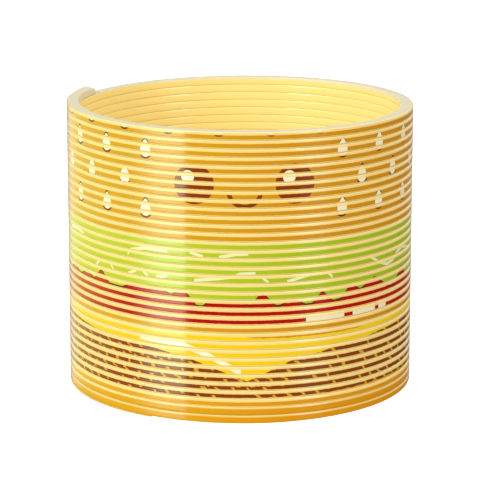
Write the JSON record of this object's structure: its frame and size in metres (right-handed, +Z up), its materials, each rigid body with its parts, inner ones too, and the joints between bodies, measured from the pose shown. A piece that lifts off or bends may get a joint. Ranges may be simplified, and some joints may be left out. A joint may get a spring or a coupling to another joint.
{
  "type": "spring coil toy",
  "caption": "Closed coil of flat glossy plastic strip, printed outside with layers of a burger; it stands on its end, stretches, bends over into an arch and springs back.",
  "frame": {"origin": "centre of the coil at the flat ground end that it stands on", "axes": "+Z up along the coil's axis, -Y towards the middle of the printed picture, +X to its right; going up, the strip runs from +X through -Y to -X"},
  "size_m": [0.075, 0.075, 0.0622],
  "materials": {
    "bun_print": "glossy pale yellow plastic, outer face printed orange-brown",
    "patty_print": "glossy pale yellow plastic, outer face printed brown with orange dashes",
    "cheese_print": "glossy pale yellow plastic, outer face printed cheese yellow",
    "tomato_print": "glossy pale yellow plastic, outer face printed red",
    "lettuce_print": "glossy pale yellow plastic, outer face printed leaf green with pale veins"
  },
  "bodies": {
    "bottom": {"bottom_end": "bun_print", "turn_01": "bun_print"},
    "turn_02": {"turn_02": "bun_print"},
    "turn_03": {"turn_03": "bun_print"},
    "turn_04": {"turn_04": "patty_print"},
    "turn_05": {"turn_05": "patty_print"},
    "turn_06_front": {"turn_06_front": "patty_print"},
    "turn_06_rear": {"turn_06_rear": "patty_print"},
    "turn_07_front": {"turn_07_front": "patty_print"},
    "turn_07_rear": {"turn_07_rear": "patty_print"},
    "turn_08_front": {"turn_08_front": "patty_print"},
    "turn_08_rear": {"turn_08_rear": "patty_print"},
    "turn_09_front": {"turn_09_front": "patty_print"},
    "turn_09_rear": {"turn_09_rear": "patty_print"},
    "turn_10_front": {"turn_10_front": "cheese_print"},
    "turn_10_rear": {"turn_10_rear": "cheese_print"},
    "turn_11_front": {"turn_11_front": "cheese_print"},
    "turn_11_rear": {"turn_11_rear": "cheese_print"},
    "turn_12_front": {"turn_12_front": "bun_print"},
    "turn_12_rear": {"turn_12_rear": "bun_print"},
    "turn_13_front": {"turn_13_front": "tomato_print"},
    "turn_13_rear": {"turn_13_rear": "tomato_print"},
    "turn_14_front": {"turn_14_front": "tomato_print"},
    "turn_14_rear": {"turn_14_rear": "tomato_print"},
    "turn_15_front": {"turn_15_front": "tomato_print"},
    "turn_15_rear": {"turn_15_rear": "tomato_print"},
    "turn_16_front": {"turn_16_front": "lettuce_print"},
    "turn_16_rear": {"turn_16_rear": "lettuce_print"},
    "turn_17_front": {"turn_17_front": "lettuce_print"},
    "turn_17_rear": {"turn_17_rear": "lettuce_print"},
    "turn_18_front": {"turn_18_front": "lettuce_print"},
    "turn_18_rear": {"turn_18_rear": "lettuce_print"},
    "turn_19_front": {"turn_19_front": "lettuce_print"},
    "turn_19_rear": {"turn_19_rear": "lettuce_print"},
    "turn_20_front": {"turn_20_front": "lettuce_print"},
    "turn_20_rear": {"turn_20_rear": "lettuce_print"},
    "turn_21_front": {"turn_21_front": "lettuce_print"},
    "turn_21_rear": {"turn_21_rear": "lettuce_print"},
    "turn_22_front": {"turn_22_front": "lettuce_print"},
    "turn_22_rear": {"turn_22_rear": "lettuce_print"},
    "turn_23_front": {"turn_23_front": "bun_print"},
    "turn_23_rear": {"turn_23_rear": "bun_print"},
    "turn_24_front": {"turn_24_front": "bun_print"},
    "turn_24_rear": {"turn_24_rear": "bun_print"},
    "turn_25_front": {"turn_25_front": "bun_print"},
    "turn_25_rear": {"turn_25_rear": "bun_print"},
    "turn_26_front": {"turn_26_front": "bun_print"},
    "turn_26_rear": {"turn_26_rear": "bun_print"},
    "turn_27_front": {"turn_27_front": "bun_print"},
    "turn_27_rear": {"turn_27_rear": "bun_print"},
    "turn_28_front": {"turn_28_front": "bun_print"},
    "turn_28_rear": {"turn_28_rear": "bun_print"},
    "turn_29_front": {"turn_29_front": "bun_print"},
    "turn_29_rear": {"turn_29_rear": "bun_print"},
    "turn_30": {"turn_30": "bun_print"},
    "turn_31": {"turn_31": "bun_print"},
    "turn_32": {"turn_32": "bun_print"},
    "turn_33": {"turn_33": "bun_print"},
    "turn_34": {"turn_34": "bun_print"},
    "turn_35": {"turn_35": "bun_print"}
  },
  "joints": [
    {"name": "stretch_02", "type": "slide", "parent": "bottom", "child": "turn_02", "axis": [0, 0, 1], "range_m": [0, 0.015], "stiffness_N_per_m": 6.8},
    {"name": "stretch_03", "type": "slide", "parent": "turn_02", "child": "turn_03", "axis": [0, 0, 1], "range_m": [0, 0.015], "stiffness_N_per_m": 6.8},
    {"name": "stretch_04", "type": "slide", "parent": "turn_03", "child": "turn_04", "axis": [0, 0, 1], "range_m": [0, 0.015], "stiffness_N_per_m": 6.8},
    {"name": "stretch_05", "type": "slide", "parent": "turn_04", "child": "turn_05", "axis": [0, 0, 1], "range_m": [0, 0.015], "stiffness_N_per_m": 6.8},
    {"name": "stretch_06", "type": "slide", "parent": "turn_05", "child": "turn_06_front", "axis": [0, 0, 1], "range_m": [0, 0.015], "stiffness_N_per_m": 6.8},
    {"name": "bend_06", "type": "hinge", "parent": "turn_06_front", "child": "turn_06_rear", "pos_m": [-0.0375, 0, 0.01014], "axis": [0, -1, 0], "range_deg": [0, 7.2], "stiffness_Nm_per_rad": 0.0095},
    {"name": "stretch_07", "type": "slide", "parent": "turn_06_rear", "child": "turn_07_front", "axis": [0, 0, 1], "range_m": [0, 0.015], "stiffness_N_per_m": 6.8},
    {"name": "bend_07", "type": "hinge", "parent": "turn_07_front", "child": "turn_07_rear", "pos_m": [-0.0375, 0, 0.0119], "axis": [0, -1, 0], "range_deg": [0, 7.2], "stiffness_Nm_per_rad": 0.0095},
    {"name": "stretch_08", "type": "slide", "parent": "turn_07_rear", "child": "turn_08_front", "axis": [0, 0, 1], "range_m": [0, 0.015], "stiffness_N_per_m": 6.8},
    {"name": "bend_08", "type": "hinge", "parent": "turn_08_front", "child": "turn_08_rear", "pos_m": [-0.0375, 0, 0.01366], "axis": [0, -1, 0], "range_deg": [0, 7.2], "stiffness_Nm_per_rad": 0.0095},
    {"name": "stretch_09", "type": "slide", "parent": "turn_08_rear", "child": "turn_09_front", "axis": [0, 0, 1], "range_m": [0, 0.015], "stiffness_N_per_m": 6.8},
    {"name": "bend_09", "type": "hinge", "parent": "turn_09_front", "child": "turn_09_rear", "pos_m": [-0.0375, 0, 0.01542], "axis": [0, -1, 0], "range_deg": [0, 7.2], "stiffness_Nm_per_rad": 0.0095},
    {"name": "stretch_10", "type": "slide", "parent": "turn_09_rear", "child": "turn_10_front", "axis": [0, 0, 1], "range_m": [0, 0.015], "stiffness_N_per_m": 6.8},
    {"name": "bend_10", "type": "hinge", "parent": "turn_10_front", "child": "turn_10_rear", "pos_m": [-0.0375, 0, 0.01718], "axis": [0, -1, 0], "range_deg": [0, 7.2], "stiffness_Nm_per_rad": 0.0095},
    {"name": "stretch_11", "type": "slide", "parent": "turn_10_rear", "child": "turn_11_front", "axis": [0, 0, 1], "range_m": [0, 0.015], "stiffness_N_per_m": 6.8},
    {"name": "bend_11", "type": "hinge", "parent": "turn_11_front", "child": "turn_11_rear", "pos_m": [-0.0375, 0, 0.01894], "axis": [0, -1, 0], "range_deg": [0, 7.2], "stiffness_Nm_per_rad": 0.0095},
    {"name": "stretch_12", "type": "slide", "parent": "turn_11_rear", "child": "turn_12_front", "axis": [0, 0, 1], "range_m": [0, 0.015], "stiffness_N_per_m": 6.8},
    {"name": "bend_12", "type": "hinge", "parent": "turn_12_front", "child": "turn_12_rear", "pos_m": [-0.0375, 0, 0.0207], "axis": [0, -1, 0], "range_deg": [0, 7.2], "stiffness_Nm_per_rad": 0.0095},
    {"name": "stretch_13", "type": "slide", "parent": "turn_12_rear", "child": "turn_13_front", "axis": [0, 0, 1], "range_m": [0, 0.015], "stiffness_N_per_m": 6.8},
    {"name": "bend_13", "type": "hinge", "parent": "turn_13_front", "child": "turn_13_rear", "pos_m": [-0.0375, 0, 0.02246], "axis": [0, -1, 0], "range_deg": [0, 7.2], "stiffness_Nm_per_rad": 0.0095},
    {"name": "stretch_14", "type": "slide", "parent": "turn_13_rear", "child": "turn_14_front", "axis": [0, 0, 1], "range_m": [0, 0.015], "stiffness_N_per_m": 6.8},
    {"name": "bend_14", "type": "hinge", "parent": "turn_14_front", "child": "turn_14_rear", "pos_m": [-0.0375, 0, 0.02422], "axis": [0, -1, 0], "range_deg": [0, 7.2], "stiffness_Nm_per_rad": 0.0095},
    {"name": "stretch_15", "type": "slide", "parent": "turn_14_rear", "child": "turn_15_front", "axis": [0, 0, 1], "range_m": [0, 0.015], "stiffness_N_per_m": 6.8},
    {"name": "bend_15", "type": "hinge", "parent": "turn_15_front", "child": "turn_15_rear", "pos_m": [-0.0375, 0, 0.02598], "axis": [0, -1, 0], "range_deg": [0, 7.2], "stiffness_Nm_per_rad": 0.0095},
    {"name": "stretch_16", "type": "slide", "parent": "turn_15_rear", "child": "turn_16_front", "axis": [0, 0, 1], "range_m": [0, 0.015], "stiffness_N_per_m": 6.8},
    {"name": "bend_16", "type": "hinge", "parent": "turn_16_front", "child": "turn_16_rear", "pos_m": [-0.0375, 0, 0.02774], "axis": [0, -1, 0], "range_deg": [0, 7.2], "stiffness_Nm_per_rad": 0.0095},
    {"name": "stretch_17", "type": "slide", "parent": "turn_16_rear", "child": "turn_17_front", "axis": [0, 0, 1], "range_m": [0, 0.015], "stiffness_N_per_m": 6.8},
    {"name": "bend_17", "type": "hinge", "parent": "turn_17_front", "child": "turn_17_rear", "pos_m": [-0.0375, 0, 0.0295], "axis": [0, -1, 0], "range_deg": [0, 7.2], "stiffness_Nm_per_rad": 0.0095},
    {"name": "stretch_18", "type": "slide", "parent": "turn_17_rear", "child": "turn_18_front", "axis": [0, 0, 1], "range_m": [0, 0.015], "stiffness_N_per_m": 6.8},
    {"name": "bend_18", "type": "hinge", "parent": "turn_18_front", "child": "turn_18_rear", "pos_m": [-0.0375, 0, 0.03126], "axis": [0, -1, 0], "range_deg": [0, 7.2], "stiffness_Nm_per_rad": 0.0095},
    {"name": "stretch_19", "type": "slide", "parent": "turn_18_rear", "child": "turn_19_front", "axis": [0, 0, 1], "range_m": [0, 0.015], "stiffness_N_per_m": 6.8},
    {"name": "bend_19", "type": "hinge", "parent": "turn_19_front", "child": "turn_19_rear", "pos_m": [-0.0375, 0, 0.03302], "axis": [0, -1, 0], "range_deg": [0, 7.2], "stiffness_Nm_per_rad": 0.0095},
    {"name": "stretch_20", "type": "slide", "parent": "turn_19_rear", "child": "turn_20_front", "axis": [0, 0, 1], "range_m": [0, 0.015], "stiffness_N_per_m": 6.8},
    {"name": "bend_20", "type": "hinge", "parent": "turn_20_front", "child": "turn_20_rear", "pos_m": [-0.0375, 0, 0.03478], "axis": [0, -1, 0], "range_deg": [0, 7.2], "stiffness_Nm_per_rad": 0.0095},
    {"name": "stretch_21", "type": "slide", "parent": "turn_20_rear", "child": "turn_21_front", "axis": [0, 0, 1], "range_m": [0, 0.015], "stiffness_N_per_m": 6.8},
    {"name": "bend_21", "type": "hinge", "parent": "turn_21_front", "child": "turn_21_rear", "pos_m": [-0.0375, 0, 0.03654], "axis": [0, -1, 0], "range_deg": [0, 7.2], "stiffness_Nm_per_rad": 0.0095},
    {"name": "stretch_22", "type": "slide", "parent": "turn_21_rear", "child": "turn_22_front", "axis": [0, 0, 1], "range_m": [0, 0.015], "stiffness_N_per_m": 6.8},
    {"name": "bend_22", "type": "hinge", "parent": "turn_22_front", "child": "turn_22_rear", "pos_m": [-0.0375, 0, 0.0383], "axis": [0, -1, 0], "range_deg": [0, 7.2], "stiffness_Nm_per_rad": 0.0095},
    {"name": "stretch_23", "type": "slide", "parent": "turn_22_rear", "child": "turn_23_front", "axis": [0, 0, 1], "range_m": [0, 0.015], "stiffness_N_per_m": 6.8},
    {"name": "bend_23", "type": "hinge", "parent": "turn_23_front", "child": "turn_23_rear", "pos_m": [-0.0375, 0, 0.04006], "axis": [0, -1, 0], "range_deg": [0, 7.2], "stiffness_Nm_per_rad": 0.0095},
    {"name": "stretch_24", "type": "slide", "parent": "turn_23_rear", "child": "turn_24_front", "axis": [0, 0, 1], "range_m": [0, 0.015], "stiffness_N_per_m": 6.8},
    {"name": "bend_24", "type": "hinge", "parent": "turn_24_front", "child": "turn_24_rear", "pos_m": [-0.0375, 0, 0.04182], "axis": [0, -1, 0], "range_deg": [0, 7.2], "stiffness_Nm_per_rad": 0.0095},
    {"name": "stretch_25", "type": "slide", "parent": "turn_24_rear", "child": "turn_25_front", "axis": [0, 0, 1], "range_m": [0, 0.015], "stiffness_N_per_m": 6.8},
    {"name": "bend_25", "type": "hinge", "parent": "turn_25_front", "child": "turn_25_rear", "pos_m": [-0.0375, 0, 0.04358], "axis": [0, -1, 0], "range_deg": [0, 7.2], "stiffness_Nm_per_rad": 0.0095},
    {"name": "stretch_26", "type": "slide", "parent": "turn_25_rear", "child": "turn_26_front", "axis": [0, 0, 1], "range_m": [0, 0.015], "stiffness_N_per_m": 6.8},
    {"name": "bend_26", "type": "hinge", "parent": "turn_26_front", "child": "turn_26_rear", "pos_m": [-0.0375, 0, 0.04534], "axis": [0, -1, 0], "range_deg": [0, 7.2], "stiffness_Nm_per_rad": 0.0095},
    {"name": "stretch_27", "type": "slide", "parent": "turn_26_rear", "child": "turn_27_front", "axis": [0, 0, 1], "range_m": [0, 0.015], "stiffness_N_per_m": 6.8},
    {"name": "bend_27", "type": "hinge", "parent": "turn_27_front", "child": "turn_27_rear", "pos_m": [-0.0375, 0, 0.0471], "axis": [0, -1, 0], "range_deg": [0, 7.2], "stiffness_Nm_per_rad": 0.0095},
    {"name": "stretch_28", "type": "slide", "parent": "turn_27_rear", "child": "turn_28_front", "axis": [0, 0, 1], "range_m": [0, 0.015], "stiffness_N_per_m": 6.8},
    {"name": "bend_28", "type": "hinge", "parent": "turn_28_front", "child": "turn_28_rear", "pos_m": [-0.0375, 0, 0.04886], "axis": [0, -1, 0], "range_deg": [0, 7.2], "stiffness_Nm_per_rad": 0.0095},
    {"name": "stretch_29", "type": "slide", "parent": "turn_28_rear", "child": "turn_29_front", "axis": [0, 0, 1], "range_m": [0, 0.015], "stiffness_N_per_m": 6.8},
    {"name": "bend_29", "type": "hinge", "parent": "turn_29_front", "child": "turn_29_rear", "pos_m": [-0.0375, 0, 0.05062], "axis": [0, -1, 0], "range_deg": [0, 7.2], "stiffness_Nm_per_rad": 0.0095},
    {"name": "stretch_30", "type": "slide", "parent": "turn_29_rear", "child": "turn_30", "axis": [0, 0, 1], "range_m": [0, 0.015], "stiffness_N_per_m": 6.8},
    {"name": "stretch_31", "type": "slide", "parent": "turn_30", "child": "turn_31", "axis": [0, 0, 1], "range_m": [0, 0.015], "stiffness_N_per_m": 6.8},
    {"name": "stretch_32", "type": "slide", "parent": "turn_31", "child": "turn_32", "axis": [0, 0, 1], "range_m": [0, 0.015], "stiffness_N_per_m": 6.8},
    {"name": "stretch_33", "type": "slide", "parent": "turn_32", "child": "turn_33", "axis": [0, 0, 1], "range_m": [0, 0.015], "stiffness_N_per_m": 6.8},
    {"name": "stretch_34", "type": "slide", "parent": "turn_33", "child": "turn_34", "axis": [0, 0, 1], "range_m": [0, 0.015], "stiffness_N_per_m": 6.8},
    {"name": "stretch_35", "type": "slide", "parent": "turn_34", "child": "turn_35", "axis": [0, 0, 1], "range_m": [0, 0.015], "stiffness_N_per_m": 6.8}
  ],
  "couplings": [
    {"joint": "stretch_03", "follows": "stretch_02", "ratio": 1},
    {"joint": "stretch_04", "follows": "stretch_02", "ratio": 1},
    {"joint": "stretch_05", "follows": "stretch_02", "ratio": 1},
    {"joint": "stretch_06", "follows": "stretch_02", "ratio": 1},
    {"joint": "stretch_07", "follows": "stretch_02", "ratio": 1},
    {"joint": "bend_07", "follows": "bend_06", "ratio": 1},
    {"joint": "stretch_08", "follows": "stretch_02", "ratio": 1},
    {"joint": "bend_08", "follows": "bend_06", "ratio": 1},
    {"joint": "stretch_09", "follows": "stretch_02", "ratio": 1},
    {"joint": "bend_09", "follows": "bend_06", "ratio": 1},
    {"joint": "stretch_10", "follows": "stretch_02", "ratio": 1},
    {"joint": "bend_10", "follows": "bend_06", "ratio": 1},
    {"joint": "stretch_11", "follows": "stretch_02", "ratio": 1},
    {"joint": "bend_11", "follows": "bend_06", "ratio": 1},
    {"joint": "stretch_12", "follows": "stretch_02", "ratio": 1},
    {"joint": "bend_12", "follows": "bend_06", "ratio": 1},
    {"joint": "stretch_13", "follows": "stretch_02", "ratio": 1},
    {"joint": "bend_13", "follows": "bend_06", "ratio": 1},
    {"joint": "stretch_14", "follows": "stretch_02", "ratio": 1},
    {"joint": "bend_14", "follows": "bend_06", "ratio": 1},
    {"joint": "stretch_15", "follows": "stretch_02", "ratio": 1},
    {"joint": "bend_15", "follows": "bend_06", "ratio": 1},
    {"joint": "stretch_16", "follows": "stretch_02", "ratio": 1},
    {"joint": "bend_16", "follows": "bend_06", "ratio": 1},
    {"joint": "stretch_17", "follows": "stretch_02", "ratio": 1},
    {"joint": "bend_17", "follows": "bend_06", "ratio": 1},
    {"joint": "stretch_18", "follows": "stretch_02", "ratio": 1},
    {"joint": "bend_18", "follows": "bend_06", "ratio": 1},
    {"joint": "stretch_19", "follows": "stretch_02", "ratio": 1},
    {"joint": "bend_19", "follows": "bend_06", "ratio": 1},
    {"joint": "stretch_20", "follows": "stretch_02", "ratio": 1},
    {"joint": "bend_20", "follows": "bend_06", "ratio": 1},
    {"joint": "stretch_21", "follows": "stretch_02", "ratio": 1},
    {"joint": "bend_21", "follows": "bend_06", "ratio": 1},
    {"joint": "stretch_22", "follows": "stretch_02", "ratio": 1},
    {"joint": "bend_22", "follows": "bend_06", "ratio": 1},
    {"joint": "stretch_23", "follows": "stretch_02", "ratio": 1},
    {"joint": "bend_23", "follows": "bend_06", "ratio": 1},
    {"joint": "stretch_24", "follows": "stretch_02", "ratio": 1},
    {"joint": "bend_24", "follows": "bend_06", "ratio": 1},
    {"joint": "stretch_25", "follows": "stretch_02", "ratio": 1},
    {"joint": "bend_25", "follows": "bend_06", "ratio": 1},
    {"joint": "stretch_26", "follows": "stretch_02", "ratio": 1},
    {"joint": "bend_26", "follows": "bend_06", "ratio": 1},
    {"joint": "stretch_27", "follows": "stretch_02", "ratio": 1},
    {"joint": "bend_27", "follows": "bend_06", "ratio": 1},
    {"joint": "stretch_28", "follows": "stretch_02", "ratio": 1},
    {"joint": "bend_28", "follows": "bend_06", "ratio": 1},
    {"joint": "stretch_29", "follows": "stretch_02", "ratio": 1},
    {"joint": "bend_29", "follows": "bend_06", "ratio": 1},
    {"joint": "stretch_30", "follows": "stretch_02", "ratio": 1},
    {"joint": "stretch_31", "follows": "stretch_02", "ratio": 1},
    {"joint": "stretch_32", "follows": "stretch_02", "ratio": 1},
    {"joint": "stretch_33", "follows": "stretch_02", "ratio": 1},
    {"joint": "stretch_34", "follows": "stretch_02", "ratio": 1},
    {"joint": "stretch_35", "follows": "stretch_02", "ratio": 1}
  ]
}
